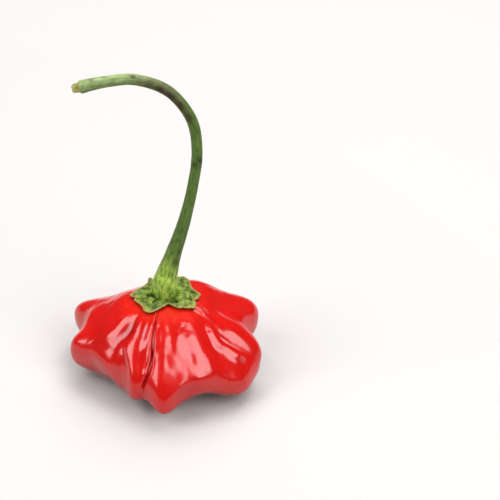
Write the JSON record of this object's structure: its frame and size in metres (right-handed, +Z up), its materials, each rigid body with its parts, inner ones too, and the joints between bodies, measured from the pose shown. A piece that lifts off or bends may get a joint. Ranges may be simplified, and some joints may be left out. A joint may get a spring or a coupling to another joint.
{
  "type": "brazilian starfish pepper",
  "caption": "Star-shaped red pepper pod with blunt lobes and folded shoulders, on its green calyx and a long stem that hooks over.",
  "frame": {"origin": "middle of the small flat spot under the pod that it rests on", "axes": "+Z up, through the middle of the pod to the calyx; -Y is the front, where the deepest fold of the shoulder is; the stem hooks over towards -X"},
  "size_m": [0.0501, 0.0483, 0.0858],
  "materials": {
    "pod": "glossy waxy red skin, orange-red under the calyx",
    "stem": "satin green, finely streaked along its length"
  },
  "bodies": {
    "root": {"pod": "pod", "stem": "stem"}
  },
  "joints": []
}
